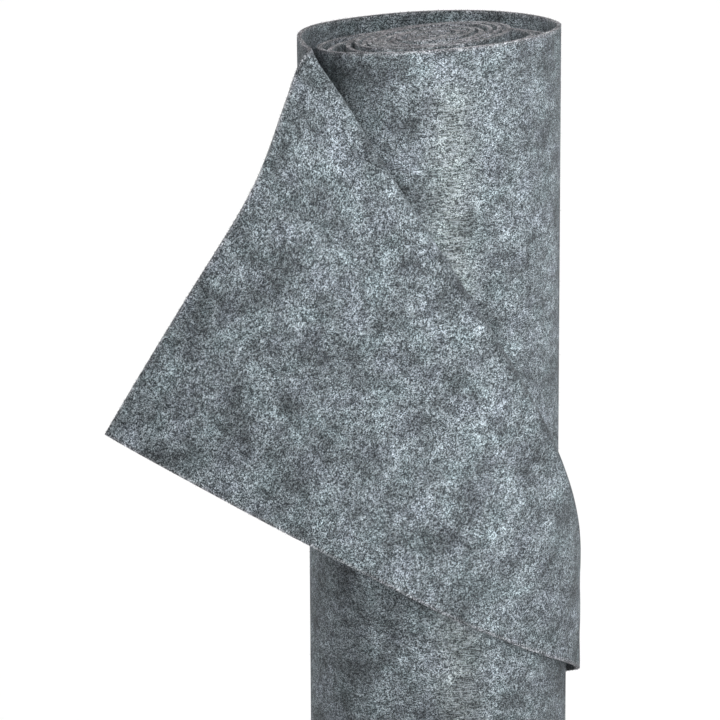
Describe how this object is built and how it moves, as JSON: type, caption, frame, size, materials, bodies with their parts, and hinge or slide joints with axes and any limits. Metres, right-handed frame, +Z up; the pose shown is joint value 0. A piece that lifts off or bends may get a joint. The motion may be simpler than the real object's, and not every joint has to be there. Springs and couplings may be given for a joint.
{
  "type": "roll of felt",
  "caption": "Loosely wound roll of heathered blue-grey needle felt standing on end, the top corner of its free end folded out and hanging in front.",
  "frame": {"origin": "on the roll's axis, at the surface it stands on", "axes": "+Z up along the roll's axis; the folded corner hangs on the -Y side and points towards -X"},
  "size_m": [0.3326, 0.2026, 1.0061],
  "materials": {
    "felt": "matt heathered needle felt"
  },
  "bodies": {
    "root": {"wound_roll": "felt", "loose_end": "felt"}
  },
  "joints": []
}
